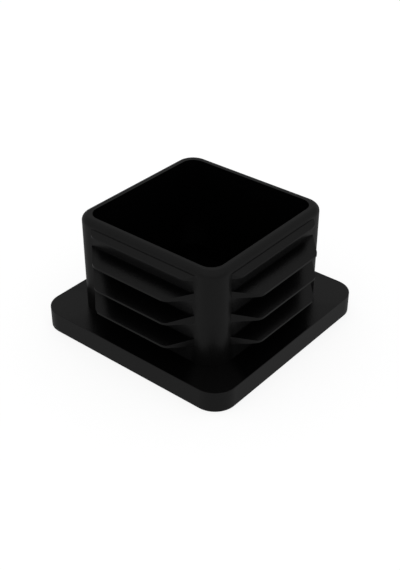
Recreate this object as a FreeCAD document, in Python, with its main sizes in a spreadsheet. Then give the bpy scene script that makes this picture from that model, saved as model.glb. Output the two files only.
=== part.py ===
"""Square tube end cap, moulded in one piece.

The head is the square plate that covers the end of the tube. A hollow square
plug stands on it, open at its far end, with four rows of fins on each side.
The three grip rows bend in the tube's bore and hold the cap. The short lead
row beside the mouth guides the plug in.

Lengths are in millimetres. The origin is the middle of the head's outer face,
and +Z runs along the plug, into the tube.
"""
import FreeCAD, Part
import math
import os
import Sketcher

NODE = "end_cap"

SIZES = {
    "head_width": (50.0, "head, across its flats, as wide as the tube"),
    "head_thick": (4.7, "head, from its outer face to the shoulder"),
    "head_corner": (5.0, "head, corner radius in plan"),
    "head_edge": (0.12, "head, small round along its rims"),
    "plug_width": (38.0, "plug, across its walls"),
    "plug_rise": (22.5, "plug, height above the shoulder"),
    "plug_corner": (4.3, "plug, corner radius in plan"),
    "plug_wall": (2.0, "plug, wall thickness"),
    "mouth_round": (1.35, "plug, round on the outside of its mouth"),
    "hollow_corner": (3.0, "hollow, corner radius in plan"),
    "hollow_floor": (2.0, "hollow, thickness of the head under it"),
    "fin_length": (27.8, "fins, length where they leave the wall"),
    "fin_end_angle": (45.0, "fins, slant of their ends in plan, in degrees"),
    "fin_corner": (2.5, "fins, corner radius at each end of the lip"),
    "fin_embed": (1.0, "fins, depth of their roots in the wall"),
    "grip_start": (4.1, "grip fins, lowest underside above the shoulder"),
    "grip_pitch": (5.63, "grip fins, spacing of the rows"),
    "grip_reach": (4.3, "grip fins, from the wall to the lip"),
    "grip_root": (1.97, "lower grip fins, thickness at the wall"),
    "grip_lip": (0.42, "lower grip fins, thickness at the lip"),
    "upper_root": (1.65, "upper grip fin, thickness at the wall"),
    "upper_lip": (0.45, "upper grip fin, thickness at the lip"),
    "lead_pitch": (4.55, "lead fin, underside above the upper grip fin's"),
    "lead_reach": (1.35, "lead fin, from the wall to the lip"),
    "lead_root": (1.05, "lead fin, thickness at the wall"),
    "lead_lip": (0.3, "lead fin, thickness at the lip"),
}

# Each row of fins: its name, the height of its underside above the shoulder,
# and the sizes that give its reach and its thickness at the wall and the lip
GRIP_TOP = "Sizes.grip_start + 2 * Sizes.grip_pitch"
ROWS = (
    ("LowerGrip", "Sizes.grip_start", "grip_reach", "grip_root", "grip_lip"),
    ("MiddleGrip", "Sizes.grip_start + Sizes.grip_pitch", "grip_reach", "grip_root", "grip_lip"),
    ("UpperGrip", GRIP_TOP, "grip_reach", "upper_root", "upper_lip"),
    ("Lead", f"{GRIP_TOP} + Sizes.lead_pitch", "lead_reach", "lead_root", "lead_lip"),
)

SIDES = 4
# A round takes up no more than this share of the wall it runs along
ROUND_SHARE = 0.9
# A cut runs past what it trims by this much
OVERRUN = 1.0
TOLERANCE = 1e-4


def size(name):
    """Return a driving size, as the starting guess for a sketch."""
    return SIZES[name][0]


def make_sheet(doc):
    """Write the driving sizes into a spreadsheet, one named cell to a row."""
    sheet = doc.addObject("Spreadsheet::Sheet", "Sizes")
    for row, (name, (value, meaning)) in enumerate(SIZES.items(), start=1):
        sheet.set(f"A{row}", name)
        sheet.set(f"B{row}", str(value))
        sheet.set(f"C{row}", meaning)
        sheet.setAlias(f"B{row}", name)
    doc.recompute()


def origin_feature(body, role):
    """Return the body's own origin plane or axis with that role."""
    for feature in body.Origin.OriginFeatures:
        if feature.Role == role:
            return feature
    raise LookupError(role)


def add_sketch(body, name, plane, offset):
    """Add a sketch on an origin plane, set off along the plane's normal."""
    sketch = body.newObject("Sketcher::SketchObject", name)
    sketch.AttachmentSupport = [(origin_feature(body, plane), "")]
    sketch.MapMode = "FlatFace"
    sketch.setExpression("AttachmentOffset.Base.z", offset)
    return sketch


def bind(sketch, name, constraint, expression):
    """Add a named dimension to a sketch and drive it by an expression."""
    index = sketch.addConstraint(constraint)
    sketch.renameConstraint(index, name)
    sketch.setExpression(f"Constraints.{name}", expression)


def draw_rounded_square(sketch, width, corner, width_driver, corner_driver):
    """Draw a square with round corners, centred on the sketch's origin."""
    half = width / 2
    flat = half - corner
    lines = []
    arcs = []
    for k in range(SIDES):
        start = k * math.pi / 2
        turn = FreeCAD.Rotation(FreeCAD.Vector(0, 0, 1), math.degrees(start))
        below = turn.multVec(FreeCAD.Vector(half, -flat, 0))
        above = turn.multVec(FreeCAD.Vector(half, flat, 0))
        centre = turn.multVec(FreeCAD.Vector(flat, flat, 0))
        circle = Part.Circle(centre, FreeCAD.Vector(0, 0, 1), corner)
        arc = Part.ArcOfCircle(circle, start, start + math.pi / 2)
        lines.append(sketch.addGeometry(Part.LineSegment(below, above)))
        arcs.append(sketch.addGeometry(arc))
    for k in range(SIDES):
        level = "Vertical" if k % 2 == 0 else "Horizontal"
        sketch.addConstraint(Sketcher.Constraint(level, lines[k]))
        sketch.addConstraint(Sketcher.Constraint("Tangent", lines[k], 2, arcs[k], 1))
        sketch.addConstraint(Sketcher.Constraint("Tangent", arcs[k], 2, lines[(k + 1) % SIDES], 1))
    for arc in arcs[1:]:
        sketch.addConstraint(Sketcher.Constraint("Equal", arcs[0], arc))
    sketch.addConstraint(Sketcher.Constraint("Equal", lines[0], lines[1]))
    sketch.addConstraint(Sketcher.Constraint("Symmetric", lines[0], 1, lines[2], 1, -1, 1))
    bind(sketch, "corner", Sketcher.Constraint("Radius", arcs[0], corner), corner_driver)
    across = Sketcher.Constraint("Distance", lines[0], 1, lines[2], width)
    bind(sketch, "width", across, width_driver)


def draw_triangle(sketch, corners):
    """Draw a triangle from its corners, each a guess and a driver for x and y."""
    spots = [FreeCAD.Vector(x, y, 0) for (x, _), (y, _) in corners]
    edges = []
    for k, spot in enumerate(spots):
        following = spots[(k + 1) % len(spots)]
        edges.append(sketch.addGeometry(Part.LineSegment(spot, following)))
    for k, edge in enumerate(edges):
        following = edges[(k + 1) % len(edges)]
        sketch.addConstraint(Sketcher.Constraint("Coincident", edge, 2, following, 1))
        (x, x_driver), (y, y_driver) = corners[k]
        bind(sketch, f"x{k}", Sketcher.Constraint("DistanceX", -1, 1, edge, 1, x), x_driver)
        bind(sketch, f"y{k}", Sketcher.Constraint("DistanceY", -1, 1, edge, 1, y), y_driver)


def draw_fin_plan(sketch, reach):
    """Draw a fin in plan: rooted in the +X wall, narrowing to a rounded lip."""
    slant = math.radians(size("fin_end_angle"))
    corner = size("fin_corner")
    wall = size("plug_width") / 2
    root = wall - size("fin_embed")
    lip = wall + size(reach)
    root_half = size("fin_length") / 2 + size("fin_embed") * math.tan(slant)
    bend = math.pi / 2 - slant
    lip_half = root_half - (lip - root) * math.tan(slant) - corner * math.tan(bend / 2)
    out = lip - corner + corner * math.cos(bend)
    up = lip_half + corner * math.sin(bend)
    axis = FreeCAD.Vector(0, 0, 1)

    def segment(x1, y1, x2, y2):
        line = Part.LineSegment(FreeCAD.Vector(x1, y1, 0), FreeCAD.Vector(x2, y2, 0))
        return sketch.addGeometry(line)

    def arc(y, start, end):
        circle = Part.Circle(FreeCAD.Vector(lip - corner, y, 0), axis, corner)
        return sketch.addGeometry(Part.ArcOfCircle(circle, start, end))

    back = segment(root, root_half, root, -root_half)
    lower_end = segment(root, -root_half, out, -up)
    lower_corner = arc(-lip_half, -bend, 0)
    front = segment(lip, -lip_half, lip, lip_half)
    upper_corner = arc(lip_half, 0, bend)
    upper_end = segment(out, up, root, root_half)
    sketch.addConstraint([
        Sketcher.Constraint("Coincident", back, 2, lower_end, 1),
        Sketcher.Constraint("Tangent", lower_end, 2, lower_corner, 1),
        Sketcher.Constraint("Tangent", lower_corner, 2, front, 1),
        Sketcher.Constraint("Tangent", front, 2, upper_corner, 1),
        Sketcher.Constraint("Tangent", upper_corner, 2, upper_end, 1),
        Sketcher.Constraint("Coincident", upper_end, 2, back, 1),
        Sketcher.Constraint("Symmetric", back, 1, back, 2, -1),
        Sketcher.Constraint("Symmetric", front, 1, front, 2, -1),
        Sketcher.Constraint("Equal", lower_corner, upper_corner),
    ])
    bind(sketch, "root", Sketcher.Constraint("DistanceX", -1, 1, back, 1, root),
         "Sizes.plug_width / 2 - Sizes.fin_embed")
    bind(sketch, "lip", Sketcher.Constraint("DistanceX", -1, 1, front, 1, lip),
         f"Sizes.plug_width / 2 + Sizes.{reach}")
    bind(sketch, "length", Sketcher.Constraint("DistanceY", back, 2, back, 1, 2 * root_half),
         "Sizes.fin_length + 2 * Sizes.fin_embed * tan(Sizes.fin_end_angle * 1 deg)")
    bind(sketch, "slant", Sketcher.Constraint("Angle", lower_end, slant),
         "Sizes.fin_end_angle * 1 deg")
    bind(sketch, "corner", Sketcher.Constraint("Radius", lower_corner, corner), "Sizes.fin_corner")


def add_fillet(body, name, edges, radius, driver):
    """Round some edges of the body's tip, given as edges of its shape."""
    base = body.Tip
    numbers = [f"Edge{k}" for k, edge in enumerate(base.Shape.Edges, start=1)
               if any(edge.isSame(other) for other in edges)]
    fillet = body.newObject("PartDesign::Fillet", name)
    fillet.Base = (base, numbers)
    fillet.Radius = radius
    fillet.setExpression("Radius", driver)
    body.Document.recompute()
    return fillet


def edges_at_height(shape, level):
    """Return the edges that lie in the level plane at that height."""
    return [edge for edge in shape.Edges
            if abs(edge.BoundBox.ZMin - level) < TOLERANCE
            and abs(edge.BoundBox.ZMax - level) < TOLERANCE]


def build_head(body):
    """Pad the square head and take the sharpness off its two rims."""
    outline = add_sketch(body, "HeadOutline", "XY_Plane", "0 mm")
    draw_rounded_square(outline, size("head_width"), size("head_corner"),
                        "Sizes.head_width", "Sizes.head_corner")
    head = body.newObject("PartDesign::Pad", "Head")
    head.Profile = outline
    head.setExpression("Length", "Sizes.head_thick")
    body.Document.recompute()
    rims = edges_at_height(head.Shape, 0) + edges_at_height(head.Shape, size("head_thick"))
    add_fillet(body, "HeadRims", rims, size("head_edge"), "Sizes.head_edge")


def build_plug(body):
    """Pad the plug, still solid, on the shoulder and round its far end."""
    outline = add_sketch(body, "PlugOutline", "XY_Plane", "Sizes.head_thick")
    draw_rounded_square(outline, size("plug_width"), size("plug_corner"),
                        "Sizes.plug_width", "Sizes.plug_corner")
    plug = body.newObject("PartDesign::Pad", "Plug")
    plug.Profile = outline
    plug.setExpression("Length", "Sizes.plug_rise")
    body.Document.recompute()
    mouth = edges_at_height(plug.Shape, size("head_thick") + size("plug_rise"))
    add_fillet(body, "MouthRound", mouth, size("mouth_round"),
               f"min(Sizes.mouth_round; {ROUND_SHARE} * Sizes.plug_wall)")


def build_fin(body, name, rise, reach, root, lip):
    """Build one fin on the plug's +X side and return its two features.

    The fin is padded from its plan, as thick as it is at the wall, with a flat
    underside. A wedge then comes off the top, down to the lip's thickness.
    """
    underside = f"Sizes.head_thick + {rise}"
    plan = add_sketch(body, f"{name}Plan", "XY_Plane", underside)
    draw_fin_plan(plan, reach)
    fin = body.newObject("PartDesign::Pad", name)
    fin.Profile = plan
    fin.setExpression("Length", f"Sizes.{root}")

    wall = size("plug_width") / 2
    end = wall + size(reach) + OVERRUN
    drop = (size(root) - size(lip)) / size(reach) * (size(reach) + OVERRUN)
    end_driver = f"Sizes.plug_width / 2 + Sizes.{reach} + {OVERRUN}"
    top_driver = f"{underside} + Sizes.{root}"
    drop_driver = f"(Sizes.{root} - Sizes.{lip}) / Sizes.{reach} * (Sizes.{reach} + {OVERRUN})"
    profile = add_sketch(body, f"{name}Wedge", "XZ_Plane", "0 mm")
    draw_triangle(profile, (
        ((wall, "Sizes.plug_width / 2"), (size(root), top_driver)),
        ((end, end_driver), (size(root) - drop, f"{top_driver} - {drop_driver}")),
        ((end, end_driver), (size(root) + OVERRUN, f"{top_driver} + {OVERRUN}")),
    ))
    slope = body.newObject("PartDesign::Pocket", f"{name}Slope")
    slope.Profile = profile
    slope.Midplane = True
    slope.setExpression("Length", "Sizes.plug_width")
    body.Document.recompute()
    if slope.Shape.Volume > fin.Shape.Volume - TOLERANCE:
        raise RuntimeError(f"{name}Slope removes nothing")
    return [fin, slope]


def build_fins(body):
    """Build one fin of each row and repeat them all on the plug's four sides."""
    features = []
    for row in ROWS:
        features += build_fin(body, *row)
    pattern = body.newObject("PartDesign::PolarPattern", "FinsAllRound")
    pattern.Originals = features
    pattern.Axis = (origin_feature(body, "Z_Axis"), [""])
    pattern.Angle = 360
    pattern.Occurrences = SIDES
    body.Tip = pattern
    body.Document.recompute()


def build_hollow(body):
    """Sink the hollow from the mouth into the head."""
    solid = body.Tip.Shape.Volume
    outline = add_sketch(body, "HollowOutline", "XY_Plane", "Sizes.head_thick + Sizes.plug_rise")
    draw_rounded_square(outline, size("plug_width") - 2 * size("plug_wall"), size("hollow_corner"),
                        "Sizes.plug_width - 2 * Sizes.plug_wall", "Sizes.hollow_corner")
    hollow = body.newObject("PartDesign::Pocket", "Hollow")
    hollow.Profile = outline
    hollow.Reversed = False
    hollow.setExpression("Length", "Sizes.head_thick + Sizes.plug_rise - Sizes.hollow_floor")
    body.Document.recompute()
    if hollow.Shape.Volume > solid - TOLERANCE:
        raise RuntimeError("the hollow removes nothing")


def build_end_cap(doc):
    """Build the cap as one body and return it."""
    body = doc.addObject("PartDesign::Body", "EndCap")
    body.Label = NODE
    body.Placement = FreeCAD.Placement()
    build_head(body)
    build_plug(body)
    build_fins(body)
    build_hollow(body)
    return body


def check(doc, body):
    """Stop if any object failed or the cap isn't one sound solid."""
    doc.recompute()
    for item in doc.Objects:
        if {"Invalid", "Error"} & set(item.State):
            raise RuntimeError(f"{item.Name} failed: {item.State}")
    shape = body.Shape
    if shape.isNull() or not shape.isValid() or len(shape.Solids) != 1:
        raise RuntimeError(f"{body.Label} isn't one valid solid")
    box = shape.optimalBoundingBox(False)
    print(f"{body.Label}: {box.XLength:.2f} x {box.YLength:.2f} x {box.ZLength:.2f} mm,"
          f" {shape.Volume / 1000:.3f} cm3")


def main():
    """Build the document and write the cap's solid."""
    doc = FreeCAD.newDocument("TubeEndCap")
    make_sheet(doc)
    body = build_end_cap(doc)
    check(doc, body)
    os.makedirs("parts", exist_ok=True)
    body.Shape.exportStep(f"parts/{NODE}.step")


main()
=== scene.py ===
"""A square tube end cap in black plastic, on a pale floor in a soft studio.

The cap is one moulding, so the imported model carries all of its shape. This
scene gives it its finish, and sets up the floor, the light and the camera.
All lengths are in metres, in the cap's own frame: the origin is the middle of
the head's outer face, and +Z runs up the plug.
"""
from __future__ import annotations

import logging
import math
from dataclasses import dataclass, field
from enum import Enum

import bpy
import numpy as np
from mathutils import Matrix, Vector


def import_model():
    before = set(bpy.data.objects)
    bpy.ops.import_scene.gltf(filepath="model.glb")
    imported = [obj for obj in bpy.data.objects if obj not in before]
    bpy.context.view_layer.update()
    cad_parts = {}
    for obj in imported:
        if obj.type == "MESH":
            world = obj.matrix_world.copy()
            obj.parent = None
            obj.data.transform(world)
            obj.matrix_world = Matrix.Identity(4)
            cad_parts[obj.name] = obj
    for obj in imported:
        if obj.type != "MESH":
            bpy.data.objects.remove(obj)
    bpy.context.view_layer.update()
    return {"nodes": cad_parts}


LOG = logging.getLogger("end_cap_scene")

MM = 0.001
Colour = tuple[float, float, float, float]


class Node(str, Enum):
    """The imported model's nodes that this scene dresses."""

    END_CAP = "end_cap"


class Seen(Enum):
    """The rays that show a surface as it is, rather than light another one."""

    CAMERA = "Is Camera Ray"
    GLOSSY = "Is Glossy Ray"
    TRANSMISSION = "Is Transmission Ray"


def grey(level: float) -> Colour:
    """Return a neutral colour of that linear level."""
    return (level, level, level, 1.0)


WHITE = grey(1.0)


def view_axis(azimuth: float, elevation: float) -> Vector:
    """Return the unit vector from the cap towards a viewer.

    Args:
        azimuth: Degrees, 0 on the -Y side and 90 on the +X side.
        elevation: Degrees above the floor.

    Returns:
        (sin a cos e, -cos a cos e, sin e), for azimuth a and elevation e.
    """
    a = math.radians(azimuth)
    e = math.radians(elevation)
    return Vector((math.sin(a) * math.cos(e), -math.cos(a) * math.cos(e), math.sin(e)))


@dataclass
class NodeBuilder:
    """Adds nodes and links to one node tree, in the order they are needed.

    Args:
        tree: The node tree of a material or of the world.
    """

    tree: bpy.types.NodeTree

    def __post_init__(self) -> None:
        """Start from an empty tree."""
        self.tree.nodes.clear()

    def add(self, kind: str, label: str, **settings: object) -> bpy.types.Node:
        """Add a node and set its properties.

        Args:
            kind: The node's type, without its ShaderNode prefix.
            label: What the node is for.
            **settings: Properties of the node, by name.

        Returns:
            The new node.
        """
        node = self.tree.nodes.new(f"ShaderNode{kind}")
        node.label = label
        for name, value in settings.items():
            setattr(node, name, value)
        return node

    def fill(self, node: bpy.types.Node, **values: object) -> None:
        """Set a node's input sockets, named with underscores for spaces."""
        for name, value in values.items():
            node.inputs[name.replace("_", " ")].default_value = value

    def link(self, source: bpy.types.NodeSocket, target: bpy.types.NodeSocket) -> None:
        """Join an output socket to an input socket."""
        self.tree.links.new(source, target)

    def remap(self, value: bpy.types.NodeSocket, label: str, span: tuple[float, float],
              result: tuple[float, float]) -> bpy.types.NodeSocket:
        """Carry a value smoothly from one span to another.

        Args:
            value: The socket that gives the value.
            label: What the result is for.
            span: Where the value starts and ends.
            result: What it becomes at those two ends.

        Returns:
            The socket that holds the result.
        """
        node = self.add("MapRange", label, interpolation_type="SMOOTHSTEP")
        self.fill(node, From_Min=span[0], From_Max=span[1], To_Min=result[0], To_Max=result[1])
        self.link(value, node.inputs["Value"])
        return node.outputs["Result"]

    def blend(self, share: bpy.types.NodeSocket, label: str,
              first: bpy.types.NodeSocket | Colour, second: Colour) -> bpy.types.NodeSocket:
        """Blend two colours.

        Args:
            share: The socket that gives the second colour's share.
            label: What the colour is for.
            first: The colour where the share is 0, or its socket.
            second: The colour where it is 1.

        Returns:
            The socket that holds the colour.
        """
        node = self.add("Mix", label, data_type="RGBA")
        sockets = {socket.identifier: socket for socket in node.inputs}
        if isinstance(first, bpy.types.NodeSocket):
            self.link(first, sockets["A_Color"])
        else:
            sockets["A_Color"].default_value = first
        sockets["B_Color"].default_value = second
        self.link(share, sockets["Factor_Float"])
        return next(socket for socket in node.outputs if socket.identifier == "Result_Color")

    def maths(self, operation: str, label: str, first: bpy.types.NodeSocket,
              second: bpy.types.NodeSocket | float | None = None) -> bpy.types.NodeSocket:
        """Work out a value from one or two others.

        Args:
            operation: The Math node's operation.
            label: What the result is for.
            first: The socket that gives the first value.
            second: The second value or its socket, where the operation takes two.

        Returns:
            The socket that holds the result.
        """
        node = self.add("Math", label, operation=operation)
        self.link(first, node.inputs[0])
        if isinstance(second, float):
            node.inputs[1].default_value = second
        elif second is not None:
            self.link(second, node.inputs[1])
        return node.outputs["Value"]

    def any_of(self, *kinds: Seen) -> bpy.types.NodeSocket:
        """Tell some kinds of ray from the rest.

        Args:
            *kinds: The kinds of ray.

        Returns:
            A socket that is 1 for rays of any of those kinds, and else 0.
        """
        path = self.add("LightPath", "kind of ray")
        found = path.outputs[kinds[0].value]
        for kind in kinds[1:]:
            found = self.maths("MAXIMUM", f"or {kind.value}", found, path.outputs[kind.value])
        return found


@dataclass(frozen=True)
class FinnedWall:
    """The flats of the plug's four walls, between and under the rows of fins.

    The plastic is painted a lighter grey there, as a painted reflection of the
    cap's faces in each other.

    Attributes:
        out: The walls' distance from the plug's axis.
        half: Half of the flats' length, short of the fins' ends.
        low: Height of the shoulder, where the flats start.
        high: Height of the lead fin's underside, where they end.
        margin: How far off the wall a point still counts as part of it.
        blur: How far off the wall a point no longer counts at all.
        fade: Length over which the ends of the flats fade.
    """

    out: float = 19.0 * MM
    half: float = 12.5 * MM
    low: float = 4.7 * MM
    high: float = 24.6 * MM
    margin: float = 0.1 * MM
    blur: float = 0.3 * MM
    fade: float = 1.4 * MM

    def mask(self, make: NodeBuilder, place: bpy.types.NodeSocket) -> bpy.types.NodeSocket:
        """Mark the flats, the same on all four sides.

        Args:
            make: The builder of the material's nodes.
            place: The socket that gives the point on the cap.

        Returns:
            A socket that is 1 on the flats, and else 0.
        """
        split = make.add("SeparateXYZ", "point on the cap")
        make.link(place, split.inputs["Vector"])
        x = make.maths("ABSOLUTE", "off the Y axis", split.outputs["X"])
        y = make.maths("ABSOLUTE", "off the X axis", split.outputs["Y"])
        z = split.outputs["Z"]
        across = make.maths("MAXIMUM", "out from the axis", x, y)
        along = make.maths("MINIMUM", "along the wall", x, y)
        beyond = make.maths("SUBTRACT", "out from the wall", across, self.out)
        apart = make.maths("ABSOLUTE", "off the wall", beyond)
        ends = (self.half, self.half + self.fade)
        shoulder = (self.low, self.low + self.margin)
        lead_fin = (self.high, self.high + self.margin)
        found = make.remap(apart, "on the wall", (self.margin, self.blur), (1.0, 0.0))
        limits = (
            make.remap(along, "short of the fins' ends", ends, (1.0, 0.0)),
            make.remap(z, "over the shoulder", shoulder, (0.0, 1.0)),
            make.remap(z, "under the lead fin", lead_fin, (1.0, 0.0)),
        )
        for limit in limits:
            found = make.maths("MULTIPLY", "and", found, limit)
        return found


@dataclass(frozen=True)
class CornerFoot:
    """The feet of the plug's four corners, and the head's top outwards from them.

    The plastic is painted a lighter grey there, as a painted reflection of the
    cap's faces in each other.

    A foot is marked by how far a point lies out from the cap's nearer middle
    plane, less a share of how far it lies out from the other one. That leans
    the foot's sides towards the head's corner.

    Attributes:
        lean: That share.
        start: The distance so worked out where a foot starts.
        full: The distance from which it counts in full.
        under: A height just under the head's top, where the foot starts.
        top: A height just inside the head's top, from which it counts in full.
        fade: Height on the corner where the foot starts to fade.
        end: Height where it ends.
    """

    lean: float = 0.54
    start: float = 2.0 * MM
    full: float = 4.8 * MM
    under: float = 4.62 * MM
    top: float = 4.68 * MM
    fade: float = 6.5 * MM
    end: float = 14.0 * MM

    def mask(self, make: NodeBuilder, place: bpy.types.NodeSocket) -> bpy.types.NodeSocket:
        """Mark the feet, the same at all four corners.

        Args:
            make: The builder of the material's nodes.
            place: The socket that gives the point on the cap.

        Returns:
            A socket that is 1 on the feet, and else 0.
        """
        split = make.add("SeparateXYZ", "point on the cap")
        make.link(place, split.inputs["Vector"])
        x = make.maths("ABSOLUTE", "off the Y axis", split.outputs["X"])
        y = make.maths("ABSOLUTE", "off the X axis", split.outputs["Y"])
        z = split.outputs["Z"]
        nearer = make.maths("MINIMUM", "out from the nearer plane", x, y)
        other = make.maths("MAXIMUM", "out from the other plane", x, y)
        share = make.maths("MULTIPLY", "share of it", other, self.lean)
        leant = make.maths("SUBTRACT", "towards the corner", nearer, share)
        corner = make.remap(leant, "in the corner", (self.start, self.full), (0.0, 1.0))
        above = make.remap(z, "on or over the head", (self.under, self.top), (0.0, 1.0))
        low = make.remap(z, "low on the corner", (self.fade, self.end), (1.0, 0.0))
        found = make.maths("MULTIPLY", "and", corner, above)
        return make.maths("MULTIPLY", "and", found, low)


@dataclass(frozen=True)
class Texture:
    """Smooth noise over the cap, as a shade or as a relief.

    Attributes:
        label: What it stands for.
        scale: How many of its spots fit in a metre.
        detail: How many finer steps it has.
        height: How high its relief stands, or 0 where it has none.
        falloff: The share of its strength that each finer step keeps.
    """

    label: str
    scale: float
    detail: float
    height: float = 0.0
    falloff: float = 0.5

    def noise(self, make: NodeBuilder, place: bpy.types.NodeSocket) -> bpy.types.NodeSocket:
        """Add the noise.

        Args:
            make: The builder of the material's nodes.
            place: The socket that gives the point on the cap.

        Returns:
            The socket that holds its value.
        """
        noise = make.add("TexNoise", self.label)
        make.fill(noise, Scale=self.scale, Detail=self.detail, Roughness=self.falloff)
        make.link(place, noise.inputs["Vector"])
        return noise.outputs["Fac"]

    def relief(self, make: NodeBuilder, place: bpy.types.NodeSocket,
               under: bpy.types.NodeSocket | None = None) -> bpy.types.NodeSocket:
        """Add the noise as a relief, on top of another where one is given.

        Args:
            make: The builder of the material's nodes.
            place: The socket that gives the point on the cap.
            under: The normal of the relief that this one lies on.

        Returns:
            The socket that holds the normal.
        """
        height = self.noise(make, place)
        bump = make.add("Bump", f"relief of the {self.label}")
        make.fill(bump, Strength=1.0, Distance=self.height)
        make.link(height, bump.inputs["Height"])
        if under is not None:
            make.link(under, bump.inputs["Normal"])
        return bump.outputs["Normal"]


@dataclass(frozen=True)
class MouldedPlastic:
    """Smooth black polyethylene, as it comes out of a polished mould.

    The colour is almost black all through, in clouds of two shades. On the walls
    between the fins and at the corners' feet it is painted a lighter grey, as a
    painted reflection of the cap's faces in each other. All of the gloss is in a
    thin skin over it, which has the faint waviness and the very fine texture of a moulding.
    The plastic under the skin is duller where its shade is paler.

    Attributes:
        name: The material's name.
        deep: The darkest shade of the plastic.
        pale: The lightest shade, where the melt flowed thin.
        painted_reflection: The painted reflection on the walls between the fins, a lighter grey.
        wall: Where those walls are.
        painted_foot_reflection: The painted reflection at the feet of the plug's corners, a
            lighter grey.
        foot: Where those feet are.
        body_ior: Index of refraction of the plastic under the skin.
        body_gloss: Its specular level, 0 because all of the gloss is in the skin.
        satin: Its roughness where it took the mould's polish best.
        dull: Its roughness where it is dullest.
        satin_cloud: The clouds' value up to which it is satin.
        dull_cloud: The clouds' value from which it is dull.
        skin: Weight of the glossy skin.
        skin_roughness: Roughness of the skin.
        skin_ior: Index of refraction of the skin.
        clouds: The clouds of shade and roughness in the melt.
        waves: The slow waves of the skin.
        grain: The fine texture of the skin.
    """

    name: str = "black_polyethylene"
    deep: Colour = (0.0006, 0.0006, 0.00065, 1.0)
    pale: Colour = (0.0010, 0.0010, 0.00105, 1.0)
    painted_reflection: Colour = (0.0050, 0.0050, 0.0051, 1.0)
    wall: FinnedWall = FinnedWall()
    painted_foot_reflection: Colour = (0.0030, 0.0030, 0.0030, 1.0)
    foot: CornerFoot = CornerFoot()
    body_ior: float = 1.5
    body_gloss: float = 0.0
    satin: float = 0.35
    dull: float = 0.5
    satin_cloud: float = 0.3
    dull_cloud: float = 0.7
    skin: float = 0.1885
    skin_roughness: float = 0.287
    skin_ior: float = 1.6
    clouds: Texture = Texture("clouds in the melt", scale=110.0, detail=3.0)
    waves: Texture = Texture("slow waves", scale=90.0, detail=1.0, height=0.08 * MM)
    grain: Texture = Texture("fine texture", scale=2600.0, detail=2.0, height=0.025 * MM)

    def build(self) -> bpy.types.Material:
        """Make the material.

        Returns:
            The finished material, all of it procedural on Object coordinates.
        """
        material = bpy.data.materials.new(self.name)
        material.use_nodes = True
        make = NodeBuilder(material.node_tree)
        output = make.add("OutputMaterial", "surface")
        plastic = make.add("BsdfPrincipled", "plastic")
        make.fill(plastic, IOR=self.body_ior, Specular_IOR_Level=self.body_gloss)
        make.fill(plastic, Coat_Weight=self.skin, Coat_Roughness=self.skin_roughness,
                  Coat_IOR=self.skin_ior)
        make.link(plastic.outputs["BSDF"], output.inputs["Surface"])

        place = make.add("TexCoord", "place on the cap").outputs["Object"]
        clouds = self.clouds.noise(make, place)
        shade = make.blend(clouds, "shade of the plastic", self.deep, self.pale)
        # Painted reflection: the corners' feet and the head's top beside them get a lighter grey
        # that stands in for the corners reflected in the head.
        feet = self.foot.mask(make, place)
        with_foot_reflection = make.blend(feet, "greyer at the corners' feet", shade, self.painted_foot_reflection)
        # Painted reflection: the walls between the fins get a lighter grey that stands in for
        # the cap's faces reflected in each other.
        walls = self.wall.mask(make, place)
        with_painted_reflections = make.blend(walls, "greyer between the fins", with_foot_reflection, self.painted_reflection)
        make.link(with_painted_reflections, plastic.inputs["Base Color"])
        span = (self.satin_cloud, self.dull_cloud)
        roughness = make.remap(clouds, "satin to dull", span, (self.satin, self.dull))
        make.link(roughness, plastic.inputs["Roughness"])

        wavy = self.waves.relief(make, place)
        grained = self.grain.relief(make, place, wavy)
        make.link(grained, plastic.inputs["Normal"])
        make.link(grained, plastic.inputs["Coat Normal"])
        return material


@dataclass
class EndCap:
    """The cap itself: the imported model's one node, in its plastic.

    Args:
        solid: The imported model's object for the cap.
        plastic: The finish that it gets.
    """

    solid: bpy.types.Object
    plastic: MouldedPlastic = field(default_factory=MouldedPlastic)

    def dress(self) -> None:
        """Give the cap its plastic in every material slot."""
        finish = self.plastic.build()
        for slot in self.solid.material_slots:
            slot.material = finish
        LOG.info("%s dressed in %s", self.solid.name, finish.name)


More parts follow.
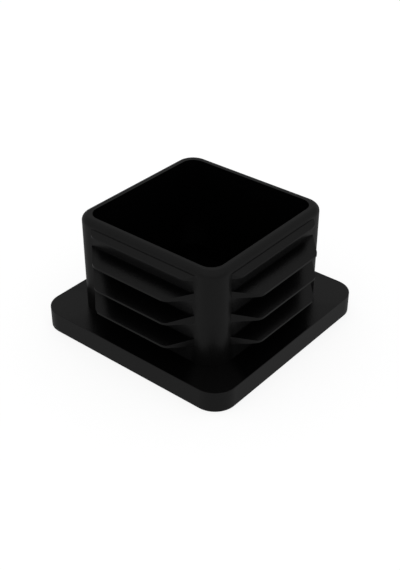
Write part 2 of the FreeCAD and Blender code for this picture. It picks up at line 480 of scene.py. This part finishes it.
@dataclass
class Floor:
    """A round white floor that fades into the backdrop and takes a soft shadow.

    Attributes:
        radius: How far the floor reaches.
        drop: How far it lies under the cap, so that the two don't share a face.
        rings: Steps of the grid from the middle outwards.
        spokes: Steps of the grid around.
        paint: The level of the floor's own colour, as it lights the cap.
        seen_paint: The level that stands for it where the floor is seen.
        glow: What is added there, so that the open floor is white.
    """

    radius: float = 6.0
    drop: float = 0.02 * MM
    rings: int = 24
    spokes: int = 96
    paint: float = 0.8
    seen_paint: float = 0.25
    glow: float = 0.81

    def build(self) -> None:
        """Make the floor.

        Each ring is a circle, and its radius grows with the square of its
        number, so the rings lie close together under the cap.
        """
        mesh = bpy.data.meshes.new("floor")
        mesh.from_pydata(self._points().tolist(), [], self._faces())
        mesh.materials.append(self._material())
        floor = bpy.data.objects.new("floor", mesh)
        bpy.context.scene.collection.objects.link(floor)
        LOG.info("floor, %d faces", len(mesh.polygons))

    def _points(self) -> np.ndarray:
        """Work out the grid's points.

        Returns:
            The middle, then (r cos a, r sin a, -drop) ring by ring, where r is
            the radius times the square of the ring's share of the rings, and a
            goes once around in equal steps.
        """
        reach = self.radius * np.linspace(0.0, 1.0, self.rings + 1)[1:] ** 2
        turn = np.linspace(0.0, 2.0 * math.pi, self.spokes, endpoint=False)
        ring, angle = np.meshgrid(reach, turn, indexing="ij")
        level = np.full_like(ring, -self.drop)
        flat = np.stack([ring * np.cos(angle), ring * np.sin(angle), level], axis=-1)
        return np.concatenate([[[0.0, 0.0, -self.drop]], flat.reshape(-1, 3)])

    def _faces(self) -> list[list[int]]:
        """Work out the faces, each turned upwards.

        Returns:
            The triangles around the middle, then the four-sided faces between
            each ring and the next one out, by the numbers of their points.
        """
        near = np.arange(self.spokes)
        beside = np.roll(near, -1)
        row = 1 + self.spokes * np.arange(self.rings - 1)[:, None]
        outer = row + self.spokes
        quads = np.stack([row + near, outer + near, outer + beside, row + beside], axis=-1)
        middle = np.stack([np.zeros_like(near), 1 + near, 1 + beside], axis=-1)
        return middle.tolist() + quads.reshape(-1, 4).tolist()

    def _material(self) -> bpy.types.Material:
        """Make the floor's paint.

        Returns:
            A material that is white where it is seen, apart from the cap's
            shadow, and pale where it gives light.
        """
        material = bpy.data.materials.new("white_floor")
        material.use_nodes = True
        make = NodeBuilder(material.node_tree)
        output = make.add("OutputMaterial", "surface")
        giving = make.add("BsdfDiffuse", "gives light")
        make.fill(giving, Color=grey(self.paint))
        shadowed = make.add("BsdfDiffuse", "takes the shadow")
        make.fill(shadowed, Color=grey(self.seen_paint))
        glow = make.add("Emission", "up to white")
        make.fill(glow, Color=WHITE, Strength=self.glow)
        seen = make.add("AddShader", "seen floor")
        make.link(shadowed.outputs["BSDF"], seen.inputs[0])
        make.link(glow.outputs["Emission"], seen.inputs[1])
        choice = make.add("MixShader", "seen or giving light")
        make.link(make.any_of(*Seen), choice.inputs[0])
        make.link(giving.outputs["BSDF"], choice.inputs[1])
        make.link(seen.outputs["Shader"], choice.inputs[2])
        make.link(choice.outputs["Shader"], output.inputs["Surface"])
        return material


@dataclass
class Lamp:
    """A square softbox that faces the cap.

    Args:
        name: What the lamp is called.
        azimuth: Where it stands, in degrees, turning from the -Y side to +X.
        elevation: How high it stands, in degrees.
        distance: How far it is from the cap.
        width: How wide its face is.
        power: Its power in watts.
    """

    name: str
    azimuth: float
    elevation: float
    distance: float
    width: float
    power: float

    def place(self) -> None:
        """Set the softbox up, turned towards the cap."""
        data = bpy.data.lights.new(self.name, "AREA")
        data.shape = "SQUARE"
        data.size = self.width
        data.energy = self.power
        lamp = bpy.data.objects.new(self.name, data)
        away = view_axis(self.azimuth, self.elevation)
        facing = away.to_track_quat("Z", "Y").to_matrix().to_4x4()
        lamp.matrix_world = Matrix.Translation(away * self.distance) @ facing
        bpy.context.scene.collection.objects.link(lamp)
        LOG.info("lamp %s", self.name)


@dataclass
class Sky:
    """The studio around the floor: white walls under a ceiling with a soft panel.

    Attributes:
        light: The level that lights the cap from all around.
        wall: The level that glossy surfaces show at the walls.
        ceiling: The level that they show overhead, away from the panel.
        panel: The level that they show at the panel.
        panel_azimuth: Where the panel is, in degrees, turning from the -Y side to +X.
        panel_elevation: How high it is, in degrees.
        panel_edge: The cosine of the angle from the panel's middle where its glow starts.
        panel_core: The cosine of that angle where the glow is full.
        wall_top: Where the white wall starts to fade, in degrees of elevation.
        ceiling_edge: Where the fade ends.
    """

    light: float = 0.78
    wall: float = 1.0
    ceiling: float = 0.86
    panel: float = 1.12
    panel_azimuth: float = 40.0
    panel_elevation: float = 60.0
    panel_edge: float = -0.15
    panel_core: float = 0.75
    wall_top: float = 21.0
    ceiling_edge: float = 32.0

    def build(self) -> None:
        """Make the world: white for the camera, walls and ceiling for gloss."""
        world = bpy.data.worlds.new("studio")
        world.use_nodes = True
        bpy.context.scene.world = world
        make = NodeBuilder(world.node_tree)
        output = make.add("OutputWorld", "surroundings")
        light = self._background(make, "even light", grey(self.light))
        backdrop = self._background(make, "white backdrop", WHITE)
        room = self._background(make, "walls and ceiling", WHITE)
        make.link(self._room_level(make), room.inputs["Strength"])
        mirrored = self._choose(make, make.any_of(Seen.GLOSSY, Seen.TRANSMISSION), light, room)
        shown = self._choose(make, make.any_of(Seen.CAMERA), mirrored, backdrop)
        make.link(shown.outputs[0], output.inputs["Surface"])
        LOG.info("studio around the floor")

    def _room_level(self, make: NodeBuilder) -> bpy.types.NodeSocket:
        """Work out how bright the room is in each direction.

        Args:
            make: The builder of the world's nodes.

        Returns:
            The socket that holds the wall's level below, and the ceiling's
            overhead, which rises to the panel's towards the panel.
        """
        around = make.add("TexCoord", "around").outputs["Generated"]
        direction = make.add("SeparateXYZ", "direction")
        make.link(around, direction.inputs["Vector"])
        towards = make.add("VectorMath", "towards the panel", operation="DOT_PRODUCT")
        make.link(around, towards.inputs[0])
        towards.inputs[1].default_value = view_axis(self.panel_azimuth, self.panel_elevation)
        glow = (self.panel_edge, self.panel_core)
        overhead = make.remap(towards.outputs["Value"], "ceiling and panel", glow,
                              (self.ceiling, self.panel))
        fade = (math.sin(math.radians(self.wall_top)), math.sin(math.radians(self.ceiling_edge)))
        share = make.remap(direction.outputs["Z"], "wall to ceiling", fade, (0.0, 1.0))
        step = make.maths("SUBTRACT", "ceiling over wall", overhead, self.wall)
        level = make.maths("MULTIPLY", "share of it", share, step)
        return make.maths("ADD", "level", level, self.wall)

    def _background(self, make: NodeBuilder, label: str, colour: Colour) -> bpy.types.Node:
        """Add a background of that colour at strength 1."""
        node = make.add("Background", label)
        make.fill(node, Color=colour, Strength=1.0)
        return node

    def _choose(self, make: NodeBuilder, choice: bpy.types.NodeSocket, first: bpy.types.Node,
                second: bpy.types.Node) -> bpy.types.Node:
        """Choose between two backgrounds.

        Args:
            make: The builder of the world's nodes.
            choice: The socket that makes the choice.
            first: The background where it is 0.
            second: The background where it is 1.

        Returns:
            The node that mixes them.
        """
        mix = make.add("MixShader", "by kind of ray")
        make.link(choice, mix.inputs[0])
        make.link(first.outputs[0], mix.inputs[1])
        make.link(second.outputs[0], mix.inputs[2])
        return mix


@dataclass
class Viewpoint:
    """The camera, at the place and angle that show the cap as pictured.

    Attributes:
        azimuth: Turn of the view axis, in degrees from the -Y side to +X.
        elevation: Height of the view axis, in degrees.
        roll: Turn of the picture about the view axis, in degrees.
        right: How far the camera stands to the right of the view axis.
        up: How far it stands above that axis.
        distance: How far it stands from the cap along the axis.
        picture_height: The picture's height in pixels.
        focal_pixels: The focal length in the same pixels.
        sensor: The long side of the camera's sensor in millimetres.
        nearest: The shortest distance that the camera sees.
        farthest: The longest distance that it sees.
    """

    azimuth: float = 39.604
    elevation: float = 33.864
    roll: float = 0.038
    right: float = -0.312 * MM
    up: float = 6.579 * MM
    distance: float = 221.26 * MM
    picture_height: float = 570.0
    focal_pixels: float = 982.98
    sensor: float = 36.0
    nearest: float = 1.0 * MM
    farthest: float = 100.0

    def place(self) -> None:
        """Set the camera up and make it the scene's own."""
        back = view_axis(self.azimuth, self.elevation)
        level = view_axis(self.azimuth + 90.0, 0.0)
        over = back.cross(level)
        roll = math.radians(self.roll)
        right = level * math.cos(roll) + over * math.sin(roll)
        up = over * math.cos(roll) - level * math.sin(roll)
        spot = right * self.right + up * self.up + back * self.distance
        data = bpy.data.cameras.new("viewpoint")
        data.sensor_fit = "AUTO"
        data.sensor_width = self.sensor
        data.lens = self.focal_pixels / self.picture_height * self.sensor
        data.clip_start = self.nearest
        data.clip_end = self.farthest
        camera = bpy.data.objects.new("viewpoint", data)
        turned = Matrix((right, up, back)).transposed().to_4x4()
        camera.matrix_world = Matrix.Translation(spot) @ turned
        bpy.context.scene.collection.objects.link(camera)
        bpy.context.scene.camera = camera
        LOG.info("camera %.1f mm from the cap", spot.length / MM)


@dataclass
class Studio:
    """The floor, the light and the surroundings.

    Attributes:
        floor: The floor that the cap stands on.
        sky: The walls and the ceiling.
        lamps: The lamps that are set up.
    """

    floor: Floor = field(default_factory=Floor)
    sky: Sky = field(default_factory=Sky)
    lamps: tuple[Lamp, ...] = (
        Lamp("key_softbox", azimuth=40.0, elevation=65.0, distance=1.2, width=2.0, power=1.5),
    )

    def build(self) -> None:
        """Set up everything that stands around the cap."""
        self.floor.build()
        self.sky.build()
        for lamp in self.lamps:
            lamp.place()
        bpy.context.scene.view_settings.view_transform = "Standard"


def main() -> None:
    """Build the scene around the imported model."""
    logging.basicConfig(level=logging.INFO, format="%(name)s: %(message)s")
    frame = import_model()
    Viewpoint().place()
    EndCap(frame["nodes"][Node.END_CAP.value]).dress()
    Studio().build()


if __name__ == "__main__":
    main()
